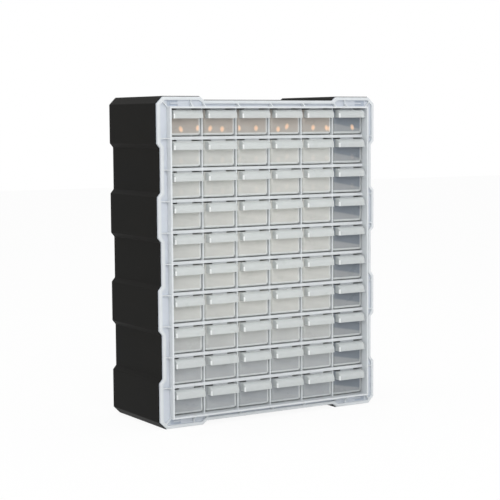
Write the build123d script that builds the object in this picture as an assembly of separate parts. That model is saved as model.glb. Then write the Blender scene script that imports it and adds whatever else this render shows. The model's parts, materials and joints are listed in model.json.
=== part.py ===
"""Small-parts cabinet with sixty clear drawers in six columns and ten rows.

A black housing, closed at the back, carries a clear front frame. Behind the frame lies a grid of
cells, made of shelves and upright webs, and one drawer runs in each cell.

Millimetres. X runs across the front, the front faces -Y and Z is up. The origin is the middle of
the footprint, on the surface that the cabinet stands on. Rows count from the top, columns from -X.
"""
import os
from build123d import *

# Overall size
cabinet_width = 377.0
cabinet_height = 475.0
cabinet_depth = 160.0

# Stepped outline: blocks that stand out, with shallow recesses between them
step_depth = 5.2
step_run = 6.3
corner_chamfer = 10.5
corner_block_height = 67.5
side_recess_height = 62.0
side_block_height = 58.5
corner_block_width = 71.0
outline_radius = 2.0

# Housing
housing_wall = 2.2
back_edge_chamfer = 1.6
keyhole_inset = 58.5
keyhole_drop = 45.0
keyhole_head = 9.0
keyhole_slot = 4.6
keyhole_rise = 9.0

# Grid of cells
columns = 6
rows = 10
side_border = 19.5
end_border = 17.6
grid_recess = 12.6
cell_back_gap = 17.7
web = 1.6
shelf = 1.6
shelf_band = 4.7
band_depth = 4.0
band_radius = 0.7
stop_lip = 1.6
stop_lip_height = 4.0
stop_tab_width = 24.0
stop_tab_height = 2.8
stop_tab = 1.6
grid_wall = 1.6

# Front frame
frame_inset = 1.0
flange_depth = 5.0
flange_edge_radius = 1.0
channel_floor = 1.6
outer_rim = 4.5
rim_wall = 2.6
rim_stand_out = 8.3
rim_edge_radius = 0.8
rib = 1.4
rib_drop = 1.2
rib_run = 5.0
block_rib_offset = 16.0

# Snap hooks behind the four corner blocks, the sinks in front of them, and the housing's catches
sink_width = 17.0
sink_height = 7.6
sink_edge_gap = 1.0
sink_skin = 0.6
hook_inset = 1.0
hook_width = 11.5
hook_thickness = 2.2
hook_length = 11.0
barb_height = 1.4
barb_length = 2.6
catch_depth = 2.6
catch_clearance = 0.4

# Drawer
drawer_side_gap = 1.0
drawer_floor_gap = 0.4
drawer_head_gap = 1.8
drawer_back_gap = 0.3
drawer_wall = 1.3
drawer_radius = 4.5
runner_height = 0.8
runner_width = 1.6
runner_inset = 10.0
pull_inset = 2.75
pull_height = 12.25
pull_drop = 8.2
pull_wall = 1.3
pull_radius = 1.8
pull_setback = 0.3

# Bites that pieces take into each other where they join, and overruns of the solids that cut
bite = 0.5
overrun = 1.0

# Planes across the depth, and the grid's pitches
front_y = -cabinet_depth / 2
back_y = cabinet_depth / 2
flange_y = front_y + rim_stand_out
seat_y = flange_y + flange_depth
grid_y = front_y + grid_recess
grid_back_y = back_y - housing_wall - cell_back_gap
band_back_y = grid_y + band_depth
grid_width = cabinet_width - 2 * side_border
grid_height = cabinet_height - 2 * end_border
cell_width = (grid_width - (columns - 1) * web) / columns
cell_height = (grid_height - (rows - 1) * shelf_band) / rows
column_pitch = cell_width + web
row_pitch = cell_height + shelf_band
grid_bottom = end_border
grid_top = cabinet_height - end_border
middle_height = cabinet_height / 2

# Sinks and hooks, at the upper right corner block
sink_outer_x = grid_width / 2 + rim_wall - sink_edge_gap
sink_inner_x = sink_outer_x - sink_width
sink_low = grid_top + rim_wall + sink_edge_gap
hook_top = sink_low + (sink_height + hook_thickness) / 2
hook_end_x = sink_inner_x + hook_width

# A drawer fills its cell but for the running gaps
drawer_width = cell_width - 2 * drawer_side_gap
drawer_height = cell_height - drawer_floor_gap - drawer_head_gap
drawer_length = grid_back_y - grid_y - stop_lip - drawer_back_gap
tray_height = drawer_height - runner_height
pull_width = drawer_width - 2 * pull_inset
pull_reach = grid_recess - pull_setback


def box_between(low, high):
    """A box from its low corner to its high corner."""
    size = [b - a for a, b in zip(low, high)]
    middle = [(a + b) / 2 for a, b in zip(low, high)]
    return Pos(*middle) * Box(*size)


def column_x(column):
    """Middle of a column, counted from 0 at -X."""
    return (column - (columns - 1) / 2) * column_pitch


def cell_floor(row):
    """Height of a row's floor, counted from 0 at the top."""
    return grid_bottom + (rows - 1 - row) * row_pitch


def in_front_view(sketch, y, depth):
    """Extrude a sketch drawn in X and Z from the plane at y, backwards by depth."""
    return extrude(Plane((0, y, 0), x_dir=(1, 0, 0), z_dir=(0, -1, 0)) * sketch, -depth)


# ---------------------------------------------------------------- outline

def outline(inset):
    """Front view of the stepped outline, drawn in X and Z and offset inwards by inset."""
    half = cabinet_width / 2
    levels = [corner_chamfer, corner_block_height]
    levels += [levels[-1] + step_run, levels[-1] + step_run + side_recess_height]
    levels += [levels[-1] + step_run, levels[-1] + step_run + side_block_height]
    levels += [levels[-1] + step_run]
    across = [half, half, half - step_depth, half - step_depth, half, half, half - step_depth]
    block_edge = half - corner_block_width
    top = [(half - corner_chamfer, cabinet_height), (block_edge, cabinet_height),
           (block_edge - step_run, cabinet_height - step_depth)]
    lower_right = list(zip(across, levels))
    upper_right = [(x, cabinet_height - z) for x, z in reversed(lower_right)]
    right = lower_right + upper_right + top
    right = [(x, cabinet_height - z) for x, z in reversed(top)] + right
    left = [(-x, z) for x, z in reversed(right)]
    shape = make_face(Polyline(*right, *left, close=True))
    if inset:
        shape = offset(shape, -inset, kind=Kind.INTERSECTION)
    return fillet(shape.vertices(), outline_radius)


def frame_rect(grow):
    """Front view of the grid's mouth, grown outwards by grow on every side."""
    return Pos(0, middle_height) * Rectangle(grid_width + 2 * grow, grid_height + 2 * grow)


# ---------------------------------------------------------------- snap hooks

def corner_places():
    """Left or right, and bottom or top, of each corner block: (side, level)."""
    return [(side, level) for side in (-1, 1) for level in (-1, 1)]


def at_corner(shape, side, level):
    """Put a shape drawn at the upper right corner block at another corner."""
    if side < 0:
        shape = mirror(shape, Plane.YZ)
    if level < 0:
        shape = mirror(shape, Plane((0, 0, middle_height), x_dir=(1, 0, 0), z_dir=(0, 0, 1)))
    return shape


def sink():
    """Shallow sink in the channel's floor, round the root of the hook."""
    return box_between(
        (sink_inner_x, flange_y - overrun, sink_low),
        (sink_outer_x, seat_y - sink_skin, sink_low + sink_height),
    )


def hook():
    """Springy arm that reaches back into the housing, with a barb near its end."""
    low = hook_top - hook_thickness
    end_y = seat_y + hook_length
    arm_x = sink_inner_x + hook_inset
    root = box_between(
        (sink_inner_x - bite, seat_y - channel_floor, low), (hook_end_x, seat_y, hook_top)
    )
    arm = box_between((arm_x, seat_y - channel_floor, low), (hook_end_x, end_y, hook_top))
    barb = box_between(
        (arm_x, end_y - barb_length, hook_top - bite), (hook_end_x, end_y, hook_top + barb_height)
    )
    return root + arm + barb


def catch():
    """Ledge of the housing that the barb holds behind, hung from the wall of the corner block."""
    ledge_back = seat_y + hook_length - barb_length - catch_clearance
    return box_between(
        (sink_inner_x, ledge_back - catch_depth, hook_top + catch_clearance),
        (hook_end_x + hook_inset, ledge_back, cabinet_height - housing_wall / 2),
    )


# ---------------------------------------------------------------- housing

def keyhole():
    """Keyhole through the back wall: a round entry with a narrow slot that rises from it."""
    rise = Pos(0, keyhole_rise / 2) * Rectangle(keyhole_slot, keyhole_rise)
    profile = Circle(keyhole_head / 2) + rise + Pos(0, keyhole_rise) * Circle(keyhole_slot / 2)
    return in_front_view(profile, back_y - 2 * housing_wall, 3 * housing_wall)


def housing():
    """Black shell with stepped walls, open at the front, with two keyholes in its back."""
    depth = back_y - seat_y
    shell = in_front_view(outline(0), seat_y, depth)
    shell = chamfer(shell.faces().sort_by(Axis.Y)[-1].edges(), back_edge_chamfer)
    shell -= in_front_view(outline(housing_wall), seat_y, depth - housing_wall)
    for side in (-1, 1):
        x = side * (cabinet_width / 2 - keyhole_inset)
        shell -= Pos(x, 0, cabinet_height - keyhole_drop) * keyhole()
    for side, level in corner_places():
        shell += at_corner(catch(), side, level)
    return shell


# ---------------------------------------------------------------- front frame

def side_rib(height):
    """Rib across the right channel, sloping from the inner rim down to the outer rim."""
    rim_x = grid_width / 2 + rim_wall
    profile = Polyline(
        (rim_x - bite, front_y + rib_drop), (rim_x, front_y + rib_drop),
        (rim_x + rib_run, flange_y), (cabinet_width / 2, flange_y),
        (cabinet_width / 2, seat_y - bite), (rim_x - bite, seat_y - bite), close=True,
    )
    return Pos(0, 0, height - rib / 2) * extrude(make_face(profile), rib)


def top_rib(x):
    """Rib across the top channel, sloping the same way."""
    rim_z = grid_top + rim_wall
    profile = Polyline(
        (front_y + rib_drop, rim_z - bite), (front_y + rib_drop, rim_z),
        (flange_y, rim_z + rib_run), (flange_y, cabinet_height),
        (seat_y - bite, cabinet_height), (seat_y - bite, rim_z - bite), close=True,
    )
    return Pos(x - rib / 2, 0, 0) * extrude(Plane.YZ * make_face(profile), rib)


def corner_rib():
    """Rib from the inner rim's upper right corner out to the chamfered corner."""
    x = grid_width / 2 + rim_wall
    z = grid_top + rim_wall
    reach = cabinet_width / 2 - x
    line = Pos(reach / 2, 0) * Rectangle(reach + 2 * overrun, rib)
    return in_front_view(Pos(x, z) * Rot(0, 0, 45) * line, flange_y, flange_depth - bite)


def channel_ribs():
    """All ribs of the channel, trimmed to the frame's outline."""
    ribs = []
    for row in range(rows - 1):
        middle = cell_floor(row) - shelf_band / 2
        ribs += [side_rib(middle), mirror(side_rib(middle), Plane.YZ)]
    block_edge = cabinet_width / 2 - corner_block_width
    spots = [column_x(column) + column_pitch / 2 for column in range(columns - 1)]
    spots += [side * (block_edge + block_rib_offset) for side in (-1, 1)]
    for x in spots:
        ribs += [top_rib(x), at_corner(top_rib(x), 1, -1)]
    for side, level in corner_places():
        ribs.append(at_corner(corner_rib(), side, level))
    envelope = in_front_view(outline(frame_inset + outer_rim / 2), front_y, cabinet_depth)
    return [part & envelope for part in ribs]


def inner_rim():
    """Rim round the grid's mouth, which stands out in front of everything else."""
    ring = frame_rect(rim_wall) - frame_rect(0)
    ring = in_front_view(ring, front_y, seat_y - front_y)
    return fillet(ring.faces().sort_by(Axis.Y)[0].edges(), rim_edge_radius)


def front_frame():
    """Clear frame: flange with a ribbed channel, inner rim and corner hooks."""
    flange = in_front_view(outline(frame_inset), flange_y, flange_depth)
    flange = fillet(flange.faces().sort_by(Axis.Y)[0].edges(), flange_edge_radius)
    channel = outline(frame_inset + outer_rim) - frame_rect(rim_wall)
    flange -= in_front_view(channel, flange_y, flange_depth - channel_floor)
    flange -= in_front_view(frame_rect(0), flange_y - overrun, flange_depth + 2 * overrun)
    for side, level in corner_places():
        flange -= at_corner(sink(), side, level)
        flange += at_corner(hook(), side, level)
    return flange + channel_ribs() + inner_rim()


# ---------------------------------------------------------------- grid of cells

def cell_shelves():
    """The shelves between the rows, and the walls over the top row and under the bottom row."""
    shelves = [
        box_between(
            (-grid_width / 2, band_back_y, cell_floor(row) - shelf),
            (grid_width / 2, grid_back_y, cell_floor(row)),
        )
        for row in range(rows - 1)
    ]
    reach = grid_width / 2 + grid_wall
    for low in (grid_top, grid_bottom - grid_wall):
        shelves.append(
            box_between((-reach, seat_y, low), (reach, grid_back_y, low + grid_wall))
        )
    return shelves


def shelf_bands():
    """The shelves' deep front bands, and the lips behind which the drawers stop at the back."""
    half = grid_width / 2
    band = box_between((-half, grid_y, -shelf_band), (half, band_back_y, 0))
    band = fillet(band.faces().sort_by(Axis.Y)[0].edges().filter_by(Axis.X), band_radius)
    lip = box_between((-half, grid_back_y - stop_lip, 0), (half, grid_back_y, stop_lip_height))
    bands = [Pos(0, 0, cell_floor(row)) * band for row in range(rows - 1)]
    return bands + [Pos(0, 0, cell_floor(row)) * lip for row in range(rows)]


def cell_webs():
    """Upright webs between the columns, the grid's two side walls, and the drawers' stop tabs."""
    upright = box_between((-web / 2, grid_y, 0), (web / 2, grid_back_y - stop_lip, cell_height))
    tab = box_between(
        (-stop_tab_width / 2, band_back_y - stop_tab, cell_height - stop_tab_height),
        (stop_tab_width / 2, band_back_y, cell_height),
    )
    between = [column_x(column) + column_pitch / 2 for column in range(columns - 1)]
    pieces = []
    for floor in (cell_floor(row) for row in range(rows)):
        pieces += [Pos(x, 0, floor) * upright for x in between]
        pieces += [Pos(column_x(column), 0, floor) * tab for column in range(columns)]
    wall = box_between(
        (grid_width / 2, seat_y, grid_bottom), (grid_width / 2 + grid_wall, grid_back_y, grid_top)
    )
    return pieces + [wall, mirror(wall, Plane.YZ)]


# ---------------------------------------------------------------- drawer

def rounded_block(width, length, height, radius):
    """A block standing on z = 0, with its upright and bottom edges rounded."""
    block = Pos(0, 0, height / 2) * Box(width, length, height)
    bottom = block.faces().sort_by(Axis.Z)[0].edges()
    return fillet(block.edges().filter_by(Axis.Z) + bottom, radius)


def pull_solid(reach, drop, low, width):
    """Solid under a hood that is rounded in front, from the drawer's face forwards by reach."""
    top = drawer_height - (pull_drop - drop)
    crown = drop - reach
    hood = CenterArc((crown, top - drop), drop, 90, 90)
    sides = Polyline((-reach, top - drop), (-reach, low), (0, low), (0, top), (crown, top))
    return Pos(-width / 2, 0, 0) * extrude(Plane.YZ * make_face(hood + sides), width)


def pull():
    """Hood-shaped pull, open below, with a cheek at each end."""
    low = drawer_height - pull_height
    hood = pull_solid(pull_reach, pull_drop, low, pull_width)
    for cheek in (Axis.X, -Axis.X):
        face = hood.faces().sort_by(cheek)[-1]
        rounded = [edge for edge in face.edges() if edge.center().Y < -bite
                   and edge.center().Z > low + pull_wall]
        hood = fillet(rounded, pull_radius)
    hood += box_between(
        (-pull_width / 2, 0, low), (pull_width / 2, drawer_wall / 2, drawer_height - pull_radius)
    )
    hollow = pull_solid(
        pull_reach - pull_wall, pull_drop - pull_wall, low - overrun, pull_width - 2 * pull_wall
    )
    return hood - hollow


def runners():
    """Two low ribs under the tray, on which the drawer slides."""
    length = drawer_length - 2 * runner_inset
    reach = drawer_width / 2 - runner_inset
    rib_box = Box(runner_width, length, runner_height + bite)
    height = (runner_height + bite) / 2
    return [Pos(side * reach, drawer_length / 2, height) * rib_box for side in (-1, 1)]


def drawer():
    """Open tray with rounded edges and a hooded pull, its face at y = 0, on runners at z = 0."""
    tray = Pos(0, drawer_length / 2, runner_height) * rounded_block(
        drawer_width, drawer_length, tray_height, drawer_radius
    )
    tray -= Pos(0, drawer_length / 2, runner_height + drawer_wall) * rounded_block(
        drawer_width - 2 * drawer_wall, drawer_length - 2 * drawer_wall, tray_height,
        drawer_radius - drawer_wall,
    )
    return tray + pull() + runners()


def placed_drawer(shape, row, column):
    """A drawer pushed home in its cell."""
    return Pos(column_x(column), grid_y, cell_floor(row) + drawer_floor_gap) * shape


# ---------------------------------------------------------------- files

def write(name, solids):
    """Write one sub-part, made of one or more separate solids."""
    shape = solids[0] if len(solids) == 1 else Compound(children=solids)
    shape.label = name
    export_step(shape, f"parts/{name}.step")


def main():
    os.makedirs("parts", exist_ok=True)
    write("housing", [housing()])
    write("front_frame", [front_frame()])
    write("cell_shelves", cell_shelves())
    write("shelf_bands", shelf_bands())
    write("cell_webs", cell_webs())
    one = drawer()
    for row in range(rows - 1):
        for column in range(columns):
            write(f"drawer_row{row + 1}_col{column + 1}", [placed_drawer(one, row, column)])
    bottom_row = [placed_drawer(one, rows - 1, column) for column in range(columns)]
    write(f"drawers_row{rows}", bottom_row)


main()
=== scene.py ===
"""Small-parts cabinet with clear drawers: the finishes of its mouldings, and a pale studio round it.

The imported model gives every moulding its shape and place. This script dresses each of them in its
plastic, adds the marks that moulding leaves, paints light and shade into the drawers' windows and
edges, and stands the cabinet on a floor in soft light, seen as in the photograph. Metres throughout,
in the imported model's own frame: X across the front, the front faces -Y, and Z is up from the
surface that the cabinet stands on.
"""
import json
import logging
import math
from dataclasses import dataclass, field
from enum import Enum
from typing import Any

import bmesh
import bpy
from mathutils import Matrix, Vector

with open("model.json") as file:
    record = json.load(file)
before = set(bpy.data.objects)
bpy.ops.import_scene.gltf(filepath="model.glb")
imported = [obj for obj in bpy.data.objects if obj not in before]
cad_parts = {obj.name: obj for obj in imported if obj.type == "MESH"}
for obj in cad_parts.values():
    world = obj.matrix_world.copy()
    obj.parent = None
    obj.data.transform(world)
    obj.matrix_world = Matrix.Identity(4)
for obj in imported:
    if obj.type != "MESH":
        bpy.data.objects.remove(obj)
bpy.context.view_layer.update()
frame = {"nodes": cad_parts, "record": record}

LOG = logging.getLogger("cabinet")

Colour = tuple[float, float, float]
Point = tuple[float, float, float]

# Where a smooth step starts from 0, and where it reaches 1.
Step = tuple[float, float]

WHITE = (1.0, 1.0, 1.0, 1.0)
NOISE_MIDDLE = 0.5


class Slot(Enum):
    """The record's material slots, by the moulding that wears each."""

    HOUSING = "black_housing"
    MOULDING = "clear_frame"
    DRAWER = "clear_drawer"


class Axis(Enum):
    """A coordinate of a moulding's own space."""

    X = 0
    Y = 1
    Z = 2


class Field:
    """A number that varies over a surface, written as an ordinary expression."""

    def __init__(self, board: "Board", socket: bpy.types.NodeSocket) -> None:
        """Wrap an output socket of the board's node tree."""
        self.board = board
        self.socket = socket

    def _math(self, operation: str, *values: Any) -> "Field":
        """Add one Math node.

        Args:
            operation: The node's operation.
            values: Fields or plain numbers for its inputs, in order.

        Returns:
            The node's result.
        """
        inputs = dict(enumerate(values))
        node = self.board.node("ShaderNodeMath", {"operation": operation}, inputs)
        return Field(self.board, node.outputs[0])

    def __add__(self, other: Any) -> "Field":
        """Sum."""
        return self._math("ADD", self, other)

    __radd__ = __add__

    def __sub__(self, other: Any) -> "Field":
        """Difference."""
        return self._math("SUBTRACT", self, other)

    def __rsub__(self, other: Any) -> "Field":
        """Difference, with the plain number first."""
        return self._math("SUBTRACT", other, self)

    def __mul__(self, other: Any) -> "Field":
        """Product."""
        return self._math("MULTIPLY", self, other)

    __rmul__ = __mul__

    def __mod__(self, other: Any) -> "Field":
        """Remainder that stays positive."""
        return self._math("FLOORED_MODULO", self, other)

    def __abs__(self) -> "Field":
        """Size without its sign."""
        return self._math("ABSOLUTE", self)

    def most(self, other: Any) -> "Field":
        """The larger of this and another value."""
        return self._math("MAXIMUM", self, other)

    def rise(self, low: float, high: float) -> "Field":
        """A smooth step.

        Args:
            low: Value at which the step starts from 0.
            high: Value at which it reaches 1. A high below low gives a falling step.

        Returns:
            The step, from 0 to 1.
        """
        node = self.board.node(
            "ShaderNodeMapRange",
            {"interpolation_type": "SMOOTHSTEP", "clamp": True},
            {"Value": self, "From Min": min(low, high), "From Max": max(low, high)},
        )
        step = Field(self.board, node.outputs[0])
        return step if high > low else 1.0 - step


class Board:
    """The node tree of one material, with the nodes that its finish asks for."""

    def __init__(self, tree: bpy.types.NodeTree) -> None:
        """Start on an empty tree."""
        self.tree = tree
        tree.nodes.clear()

    def node(self, kind: str, settings: dict[str, Any], sockets: dict[Any, Any]) -> bpy.types.Node:
        """Add a node.

        Args:
            kind: The node's type name.
            settings: Attributes of the node, set before its sockets.
            sockets: Input name or number, to a plain value, a Field or an output socket.

        Returns:
            The new node.
        """
        made = self.tree.nodes.new(kind)
        for name, value in settings.items():
            setattr(made, name, value)
        for key, value in sockets.items():
            if isinstance(value, Field):
                self.tree.links.new(value.socket, made.inputs[key])
            elif isinstance(value, bpy.types.NodeSocket):
                self.tree.links.new(value, made.inputs[key])
            else:
                made.inputs[key].default_value = value
        return made

    def place(self) -> bpy.types.NodeSocket:
        """The surface point in the moulding's own space."""
        return self.node("ShaderNodeTexCoord", {}, {}).outputs["Object"]

    def along(self, place: bpy.types.NodeSocket, axis: Axis) -> Field:
        """One coordinate of a point."""
        split = self.node("ShaderNodeSeparateXYZ", {}, {0: place})
        return Field(self, split.outputs[axis.value])

    def stretched(self, place: bpy.types.NodeSocket, scale: Point) -> bpy.types.NodeSocket:
        """A point with each coordinate multiplied."""
        return self.node(
            "ShaderNodeVectorMath", {"operation": "MULTIPLY"}, {0: place, 1: scale}
        ).outputs[0]

    def noise(self, place: bpy.types.NodeSocket, scale: float, detail: float = 3.0,
              roughness: float = 0.55) -> Field:
        """Smooth noise.

        Args:
            place: Where it is read.
            scale: Waves in a metre.
            detail: Octaves of finer noise.
            roughness: How strongly the finer octaves show.

        Returns:
            The noise, about 0.5 on average.
        """
        sockets = {"Vector": place, "Scale": scale, "Detail": detail, "Roughness": roughness}
        return Field(self, self.node("ShaderNodeTexNoise", {}, sockets).outputs[0])

    def scattered(self, along: Field, scale: float) -> Field:
        """Distance along a line to the nearest of scattered points, in units of their spacing.

        Args:
            along: Where on the line it is read.
            scale: Points in a metre.

        Returns:
            The distance.
        """
        settings = {"voronoi_dimensions": "1D"}
        sockets = {"W": along, "Scale": scale}
        node = self.node("ShaderNodeTexVoronoi", settings, sockets)
        return Field(self, node.outputs["Distance"])

    def blend(self, amount: Any, first: Any, second: Any) -> bpy.types.NodeSocket:
        """Mix two colours.

        Args:
            amount: Share of the second colour.
            first: Colour where the amount is 0.
            second: Colour where it is 1.

        Returns:
            The mixed colour.
        """
        colours = [(*c, 1.0) if isinstance(c, tuple) else c for c in (first, second)]
        made = self.node(
            "ShaderNodeMix", {"data_type": "RGBA"}, {0: amount, 6: colours[0], 7: colours[1]}
        )
        return made.outputs[2]

    def mixed(self, amount: Any, first: bpy.types.NodeSocket,
              second: bpy.types.NodeSocket) -> bpy.types.NodeSocket:
        """Mix two shaders.

        Args:
            amount: Share of the second shader.
            first: Shader where the amount is 0.
            second: Shader where it is 1.

        Returns:
            The mixed shader.
        """
        made = self.node("ShaderNodeMixShader", {}, {0: amount, 1: first, 2: second})
        return made.outputs[0]

    def relief(self, height: Field, depth: float, strength: float) -> bpy.types.NodeSocket:
        """A bumped normal from a height.

        Args:
            height: Height of the surface, from 0 to 1.
            depth: Metres between heights 0 and 1.
            strength: How much of the bump shows.

        Returns:
            The normal.
        """
        sockets = {"Height": height, "Distance": depth, "Strength": strength}
        return self.node("ShaderNodeBump", {}, sockets).outputs[0]

    def finish(self, shader: bpy.types.NodeSocket) -> None:
        """Put a shader on the surface."""
        self.node("ShaderNodeOutputMaterial", {}, {"Surface": shader})


@dataclass(frozen=True)
class Finish:
    """A plastic: its name in the file, and how it is laid out in nodes."""

    name: str

    def material(self) -> bpy.types.Material:
        """Make the material.

        Returns:
            The material, with its nodes built.
        """
        made = bpy.data.materials.new(self.name)
        made.use_nodes = True
        board = Board(made.node_tree)
        board.finish(self.shader(board))
        return made

    def shader(self, board: Board) -> bpy.types.NodeSocket:
        """Build the shader. Each finish has its own."""
        raise NotImplementedError


@dataclass(frozen=True)
class SatinBlack(Finish):
    """Satin black polypropylene of the housing, with a fine moulded grain."""

    name: str = "satin_black_polypropylene"
    colour: Colour = (0.0080, 0.0080, 0.0075)
    dusty: Colour = (0.0115, 0.0110, 0.0098)
    dusty_step: Step = (0.35, 0.75)
    flow_scale: float = 9.0
    flow_stretch: Point = (1.0, 0.35, 1.0)
    grain_scale: float = 2200.0
    grain_depth: float = 0.00005
    grain_strength: float = 0.5
    roughness: float = 0.52
    flow_roughness: float = 0.12
    grain_roughness: float = 0.06
    sheen: float = 0.035

    def shader(self, board: Board) -> bpy.types.NodeSocket:
        """Black with a slow change of tone and gloss, under a fine grain.

        Args:
            board: The node tree.

        Returns:
            The shader.
        """
        place = board.place()
        flow = board.noise(board.stretched(place, self.flow_stretch), self.flow_scale, detail=4.0)
        grain = board.noise(place, self.grain_scale, detail=2.0)
        roughness = self.roughness + self.flow_roughness * (flow - NOISE_MIDDLE)
        return board.node(
            "ShaderNodeBsdfPrincipled",
            {},
            {
                "Base Color": board.blend(flow.rise(*self.dusty_step), self.colour, self.dusty),
                "Roughness": roughness + self.grain_roughness * (grain - NOISE_MIDDLE),
                "Specular IOR Level": self.sheen,
                "Normal": board.relief(grain, self.grain_depth, self.grain_strength),
            },
        ).outputs[0]


@dataclass(frozen=True)
class Tone:
    """How milky plastic looks in one region of a moulding.

    Attributes:
        colour: Its colour.
        body: Share of the light that it stops, from 0, clear, to 1.
    """

    colour: Colour
    body: float


# The mask of a region, and the tone that it takes.
Region = tuple[Field, Tone]


@dataclass(frozen=True)
class Milky(Finish):
    """Natural polypropylene: milky, see-through where it is thin, and lit by what is behind it.

    Attributes:
        let_through: Share of the milk that glows with light from behind, in the front walls.
        let_through_deep: The same, deeper in the cabinet.
        deep_step: Where along Y the one changes to the other.
    """

    thin: Tone = Tone((0.87, 0.88, 0.85), 0.50)
    let_through: float = 0.16
    let_through_deep: float = 0.40
    deep_step: Step = (-0.0630, -0.0560)
    roughness: float = 0.30
    refraction: float = 1.49
    haze_scale: float = 30.0
    haze_stretch: Point = (1.0, 0.4, 1.6)
    haze_body: float = 0.14
    haze_roughness: float = 0.2
    ripple_scale: float = 240.0
    ripple_depth: float = 0.00003
    ripple_strength: float = 0.25

    def regions(self, board: Board, place: bpy.types.NodeSocket) -> list[Region]:
        """The masks of the regions that differ from the thin walls, lowest layer first."""
        raise NotImplementedError

    def shader(self, board: Board) -> bpy.types.NodeSocket:
        """Layer the regions over the thin walls, with a faint haze of flow in them.

        Args:
            board: The node tree.

        Returns:
            The shader.
        """
        place = board.place()
        flow = board.noise(board.stretched(place, self.haze_stretch), self.haze_scale, detail=4.0)
        haze = flow - NOISE_MIDDLE
        colour: Any = self.thin.colour
        body: Any = self.thin.body
        for mask, tone in self.regions(board, place):
            colour = board.blend(mask, colour, tone.colour)
            body = body + mask * (tone.body - body)
        ripple = board.noise(place, self.ripple_scale, detail=1.0)
        surface = board.node(
            "ShaderNodeBsdfPrincipled",
            {},
            {
                "Base Color": colour,
                "Roughness": self.roughness + self.haze_roughness * haze,
                "IOR": self.refraction,
                "Normal": board.relief(ripple, self.ripple_depth, self.ripple_strength),
            },
        )
        within = board.node("ShaderNodeBsdfTranslucent", {}, {"Color": colour})
        deep = board.along(place, Axis.Y).rise(*self.deep_step)
        share = self.let_through + (self.let_through_deep - self.let_through) * deep
        milk = board.mixed(share, surface.outputs[0], within.outputs[0])
        clear = board.node("ShaderNodeBsdfTransparent", {}, {})
        return board.mixed(body + self.haze_body * haze, clear.outputs[0], milk)


@dataclass(frozen=True)
class MilkyMoulding(Milky):
    """The front frame with its grid: thick at the rims, ribs and front edges, thin behind them.

    Attributes:
        half_width: From the middle to the grid's side walls; the frame's part lies outside.
        middle_height: Height of the grid's middle.
        half_height: From that middle to the grid's top and bottom walls.
        rim_foot: Y behind which the frame's front is channel, and before which it is rim.
        channel_floor: Y of the channel's floor.
        sink_floor: Y of the floor of the corner sinks.
        grid_front: Y of the grid's front edges.
        band_depth: How far behind them the milky front bands reach.
        fade_depth: How far behind them the last of the milk reaches.
        blur: Half of the width over which one region turns into the next.
    """

    name: str = "milky_frame_polypropylene"
    rim: Tone = Tone((0.76, 0.79, 0.81), 0.92)
    channel: Tone = Tone((0.73, 0.77, 0.83), 0.90)
    sink: Tone = Tone((0.58, 0.64, 0.73), 0.86)
    edge: Tone = Tone((0.80, 0.83, 0.85), 0.88)
    half_width: float = 0.1690
    middle_height: float = 0.2375
    half_height: float = 0.2199
    rim_foot: float = -0.0690
    channel_floor: float = -0.0683
    sink_floor: float = -0.0673
    grid_front: float = -0.0674
    band_depth: float = 0.0040
    fade_depth: float = 0.0220
    blur: float = 0.0003

    def regions(self, board: Board, place: bpy.types.NodeSocket) -> list[Region]:
        """Front edges of the grid, then the frame's channel, its corner sinks and its rims.

        Args:
            board: The node tree.
            place: The surface point.

        Returns:
            The regions, lowest layer first.
        """
        depth = board.along(place, Axis.Y)
        across = abs(board.along(place, Axis.X))
        up = abs(board.along(place, Axis.Z) - self.middle_height)
        frame_part = across.rise(self.half_width, self.half_width + self.blur).most(
            up.rise(self.half_height, self.half_height + self.blur)
        )
        band = self.grid_front + self.band_depth
        front = depth.rise(band + self.blur, band - self.blur)
        near = depth.rise(self.grid_front + self.fade_depth, self.grid_front)
        sunk = depth.rise(self.channel_floor + self.blur, self.sink_floor - self.blur)
        raised = depth.rise(self.channel_floor - self.blur, self.rim_foot)
        return [
            (near, self.edge), (front, self.edge), (frame_part * front, self.channel),
            (frame_part * front * sunk, self.sink), (frame_part * raised, self.rim),
        ]


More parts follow.
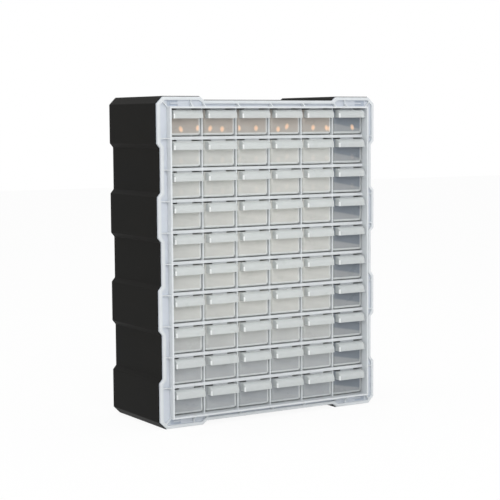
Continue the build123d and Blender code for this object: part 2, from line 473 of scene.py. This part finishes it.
@dataclass(frozen=True)
class MilkyDrawer(Milky):
    """A drawer: thin walls, a milkier pull, milkier curved edges with a painted highlight, and
    painted light and shade in its windows.

    Attributes:
        face: Y of the front walls' outer side. Steps in depth are measured from it.
        grid_left: X of the first column's left side. Steps across a cell start there.
        grid_bottom: Z of the last row's floor. Steps up a cell start there.
        floor_slope: Fall of the edge of the painted floor light across a front wall.
        floor_share: How strongly the painted light of the lit floor behind shows in the front walls.
        floor_share_side: How much more it shows in the last column.
        reflection_stray: How far the painted lamp reflections stray in height, at most about half of
            this.
        reflection_flatness: Weight of their height against their width; below 1 they are tall.
    """

    name: str = "milky_drawer_polypropylene"
    pull: Tone = Tone((0.71, 0.74, 0.74), 0.62)
    # Milkier plastic with a painted highlight along the curved right and bottom edges.
    milky_edge_highlight: Tone = Tone((0.88, 0.91, 0.91), 0.82)
    glint: Tone = Tone((0.97, 0.98, 0.98), 0.95)
    # Painted light: windows a little paler towards the middle of the cabinet.
    painted_middle_light: Tone = Tone((0.90, 0.90, 0.86), 0.53)
    shaded: Tone = Tone((0.30, 0.34, 0.39), 0.56)
    # Painted light of the lit drawer floor behind, in the lower left of the windows.
    painted_floor_light: Tone = Tone((0.72, 0.72, 0.70), 0.50)
    # Painted shade: windows darker and bluer in the lower rows.
    painted_low_shade: Tone = Tone((0.57, 0.60, 0.63), 0.52)
    # Painted shade, brownish, in the top row's windows.
    warm: Tone = Tone((0.58, 0.52, 0.47), 0.56)
    # Painted reflections of lamps: orange spots low in the windows.
    painted_reflection: Tone = Tone((0.99, 0.68, 0.48), 0.92)
    face: float = -0.0674
    front_depth: Step = (0.0160, 0.0040)
    window_depth: Step = (0.0030, 0.0020)
    skin_depth: Step = (0.0009, 0.0004)
    pull_depth: Step = (-0.0001, -0.0006)
    glint_depth: Step = (-0.0085, -0.0110)
    grid_left: float = -0.1690
    grid_bottom: float = 0.0176
    column_pitch: float = 0.0566
    row_pitch: float = 0.04445
    right_edge: Step = (0.0492, 0.0512)
    bottom_edge: Step = (0.0056, 0.0036)
    glint_across: Step = (0.0056, 0.0050)
    glint_up: Step = (0.0330, 0.0315)
    floor_slope: float = 0.18
    floor_edge: Step = (0.0190, 0.0160)
    floor_share: float = 0.2
    floor_share_side: float = 0.25
    last_column: float = 0.1135
    last_column_fade: float = 0.004
    top_row: float = 0.4172
    top_row_fade: float = 0.001
    # Where the painted light of the windows centres, and how it fades round it.
    middle_light_height: float = 0.2700
    middle_light_across: Step = (0.1500, 0.02)
    middle_light_up: Step = (0.2300, 0.03)
    low_rows: Step = (0.18, 0.04)
    lit_rows: Step = (0.24, 0.40)
    lit_share: float = 0.10
    # How strongly the top row's painted shade shows.
    warm_share: float = 0.85
    edge_highlight_share: float = 0.9
    glint_share: float = 0.8
    # Spacing, height and size of the painted lamp reflections.
    reflection_pitch: float = 0.0270
    reflection_height: float = 0.0110
    reflection_stray: float = 0.0140
    reflection_stray_scale: float = 40.0
    reflection_radius: float = 0.0046
    reflection_flatness: float = 0.7

    def from_face(self, depth: Field, step: Step) -> Field:
        """A smooth step in depth, measured from the front walls' outer side."""
        return depth.rise(self.face + step[0], self.face + step[1])

    def painted_reflections(self, board: Board, place: bpy.types.NodeSocket, across: Field,
               cell_z: Field) -> Field:
        """Painted reflections: small warm lights, as of lamps that the drawers mirror, low in the
        windows.

        Args:
            board: The node tree.
            place: The surface point.
            across: Its X.
            cell_z: Its height over the floor of its row.

        Returns:
            1 in the middle of each light, fading to 0 round it.
        """
        aside = self.reflection_pitch * board.scattered(across, 1.0 / self.reflection_pitch)
        level = board.stretched(place, (1.0, 0.0, 0.0))
        stray = board.noise(level, self.reflection_stray_scale, detail=0.0) - NOISE_MIDDLE
        above = cell_z - self.reflection_height - self.reflection_stray * stray
        outer = self.reflection_radius * self.reflection_radius
        return (aside * aside + above * above * self.reflection_flatness).rise(outer, 0.0)

    def regions(self, board: Board, place: bpy.types.NodeSocket) -> list[Region]:
        """Painted light and shade by the drawer's place in the cabinet, then its edges with a
        painted highlight, its pull and a painted glint.

        Args:
            board: The node tree.
            place: The surface point.

        Returns:
            The regions, lowest layer first.
        """
        depth = board.along(place, Axis.Y)
        across = board.along(place, Axis.X)
        up = board.along(place, Axis.Z)
        cell_x = (across - self.grid_left) % self.column_pitch
        cell_z = (up - self.grid_bottom) % self.row_pitch
        # Painted shade in the last column's windows, where the painted floor light also shows more.
        side = across.rise(self.last_column, self.last_column + self.last_column_fade)
        # The top row: painted brownish shade in its windows, and the painted lamp reflections.
        top = up.rise(self.top_row - self.top_row_fade, self.top_row)
        # Painted light, paler towards the middle of the cabinet.
        painted_middle_light = abs(across).rise(*self.middle_light_across) * abs(up - self.middle_light_height).rise(*self.middle_light_up)
        # Painted shade, darker and bluer towards the bottom rows.
        low = up.rise(*self.low_rows)
        front = self.from_face(depth, self.front_depth)
        # Painted highlight, over milkier plastic, along the curved right and bottom edges of the
        # front.
        edges = cell_x.rise(*self.right_edge).most(cell_z.rise(*self.bottom_edge))
        # Painted light of the lit floor behind, in the lower left of each window.
        painted_floor_light = (cell_z + self.floor_slope * cell_x).rise(*self.floor_edge)
        window = self.from_face(depth, self.window_depth)
        skin = self.from_face(depth, self.skin_depth)
        pull = self.from_face(depth, self.pull_depth)
        glint = cell_x.rise(*self.glint_across) * self.from_face(depth, self.glint_depth)
        glint = glint * cell_z.rise(*self.glint_up)
        # Where the painted lamp reflections show: all of the top row, faintly in the rows below it.
        lit = top.most(self.lit_share * up.rise(*self.lit_rows))
        painted_reflection = self.painted_reflections(board, place, across, cell_z) * lit
        floor_share = self.floor_share + self.floor_share_side * side
        return [
            (painted_middle_light * window, self.painted_middle_light),
            (low * window, self.painted_low_shade),
            (self.warm_share * top * window, self.warm),
            (side * window, self.shaded),
            (painted_floor_light * window * floor_share, self.painted_floor_light),
            (painted_reflection * skin, self.painted_reflection),
            (self.edge_highlight_share * edges * front, self.milky_edge_highlight),
            (pull, self.pull),
            (self.glint_share * glint, self.glint),
        ]


@dataclass
class Mouldings:
    """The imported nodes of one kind, and the finish that they wear."""

    slot: Slot
    finish: Finish
    names: list[str] = field(default_factory=list)

    def collect(self) -> None:
        """Find the nodes whose record names this slot."""
        subparts = frame["record"]["subparts"]
        self.names = [part["node"] for part in subparts if part["material_slot"] == self.slot.value]

    def dress(self) -> None:
        """Give every node the finish."""
        material = self.finish.material()
        for name in self.names:
            mesh = frame["nodes"][name].data
            mesh.materials.clear()
            mesh.materials.append(material)
            LOG.info("dressed %s in %s", name, self.finish.name)


@dataclass(frozen=True)
class Lamp:
    """A soft square lamp: its name, where it hangs, its side and its watts."""

    name: str
    place: Point
    size: float
    power: float

    def hang(self, toward: Point) -> None:
        """Hang the lamp.

        Args:
            toward: The point that it faces.
        """
        light = bpy.data.lights.new(self.name, "AREA")
        light.shape = "SQUARE"
        light.size = self.size
        light.energy = self.power
        made = bpy.data.objects.new(self.name, light)
        made.location = self.place
        aim = Vector(toward) - Vector(self.place)
        made.rotation_euler = aim.to_track_quat("-Z", "Y").to_euler()
        bpy.context.scene.collection.objects.link(made)
        LOG.info("hung %s", self.name)


@dataclass(frozen=True)
class Studio:
    """A pale floor, a white surround and soft light."""

    floor_size: float = 14.0
    floor_cells: int = 8
    floor_drop: float = 0.0002
    floor_colour: Colour = (0.80, 0.80, 0.79)
    floor_pale: Colour = (0.83, 0.83, 0.82)
    floor_patches: float = 3.0
    glow: float = 0.93
    ambient: float = 0.82
    middle: Point = (0.0, 0.0, 0.24)
    lamps: tuple[Lamp, ...] = (
        Lamp("front_softbox", (-0.9, -2.2, 1.5), 1.6, 28.0),
        Lamp("right_softbox", (2.2, -1.2, 1.2), 1.5, 4.0),
        Lamp("top_softbox", (-0.2, 0.3, 2.4), 1.6, 10.0),
    )

    def seen_directly(self, board: Board) -> Field:
        """Tell the rays that show a surface from those that only light the scene.

        Args:
            board: The node tree.

        Returns:
            1 for a ray to the eye, in a gloss or through something clear, and else 0.
        """
        path = board.node("ShaderNodeLightPath", {}, {})
        eye = Field(board, path.outputs["Is Camera Ray"])
        gloss = Field(board, path.outputs["Is Glossy Ray"])
        clear = Field(board, path.outputs["Is Transmission Ray"])
        return eye.most(gloss).most(clear)

    def floor_material(self) -> bpy.types.Material:
        """Make a pale matt floor that stays white to the eye and still takes a shadow.

        Returns:
            The material.
        """
        made = bpy.data.materials.new("pale_floor")
        made.use_nodes = True
        board = Board(made.node_tree)
        patches = board.noise(board.place(), self.floor_patches)
        colour = board.blend(patches, self.floor_colour, self.floor_pale)
        matt = board.node("ShaderNodeBsdfDiffuse", {}, {"Color": colour})
        white = board.node("ShaderNodeEmission", {}, {"Color": WHITE})
        glow = self.glow * self.seen_directly(board)
        board.finish(board.mixed(glow, matt.outputs[0], white.outputs[0]))
        return made

    def build_floor(self) -> None:
        """Lay the floor."""
        mesh = bpy.data.meshes.new("studio_floor")
        shape = bmesh.new()
        bmesh.ops.create_grid(shape, x_segments=self.floor_cells, y_segments=self.floor_cells,
                              size=self.floor_size / 2)
        shape.to_mesh(mesh)
        shape.free()
        floor = bpy.data.objects.new("studio_floor", mesh)
        floor.location.z = -self.floor_drop
        bpy.context.scene.collection.objects.link(floor)
        mesh.materials.append(self.floor_material())

    def build_world(self) -> None:
        """Surround the scene with white, softer as a light than to the eye."""
        world = bpy.data.worlds.new("white_surround")
        world.use_nodes = True
        board = Board(world.node_tree)
        strength = self.ambient + (1.0 - self.ambient) * self.seen_directly(board)
        sockets = {"Color": WHITE, "Strength": strength}
        background = board.node("ShaderNodeBackground", {}, sockets)
        board.node("ShaderNodeOutputWorld", {}, {"Surface": background.outputs[0]})
        bpy.context.scene.world = world

    def build(self) -> None:
        """Build floor, surround and lamps."""
        self.build_floor()
        self.build_world()
        for lamp in self.lamps:
            lamp.hang(self.middle)
        LOG.info("built the studio")


@dataclass(frozen=True)
class PhotoCamera:
    """The camera that took the photograph, fitted to the cabinet's outline."""

    place: Point = (-1.1442, -1.8732, 0.4377)
    yaw: float = 0.5511
    pitch: float = 0.0881
    roll: float = -0.0064
    focal_mm: float = 104.37
    sensor_mm: float = 36.0

    def build(self) -> None:
        """Set up the scene's camera."""
        forward = Vector((
            math.sin(self.yaw) * math.cos(self.pitch),
            math.cos(self.yaw) * math.cos(self.pitch),
            -math.sin(self.pitch),
        ))
        level = Vector((math.cos(self.yaw), -math.sin(self.yaw), 0.0))
        upright = level.cross(forward)
        right = math.cos(self.roll) * level + math.sin(self.roll) * upright
        up = -math.sin(self.roll) * level + math.cos(self.roll) * upright
        turned = Matrix((right, up, -forward)).transposed()
        lens = bpy.data.cameras.new("photo_camera")
        lens.lens = self.focal_mm
        lens.sensor_width = self.sensor_mm
        camera = bpy.data.objects.new("photo_camera", lens)
        camera.matrix_world = Matrix.Translation(self.place) @ turned.to_4x4()
        bpy.context.scene.collection.objects.link(camera)
        bpy.context.scene.camera = camera
        LOG.info("set the camera")


def main() -> None:
    """Dress the mouldings, build the studio and set the camera."""
    logging.basicConfig(level=logging.INFO, format="%(message)s")
    bpy.context.scene.view_settings.view_transform = "Standard"
    for mouldings in (
        Mouldings(Slot.HOUSING, SatinBlack()),
        Mouldings(Slot.MOULDING, MilkyMoulding()),
        Mouldings(Slot.DRAWER, MilkyDrawer()),
    ):
        mouldings.collect()
        mouldings.dress()
    Studio().build()
    PhotoCamera().build()


if __name__ == "__main__":
    main()
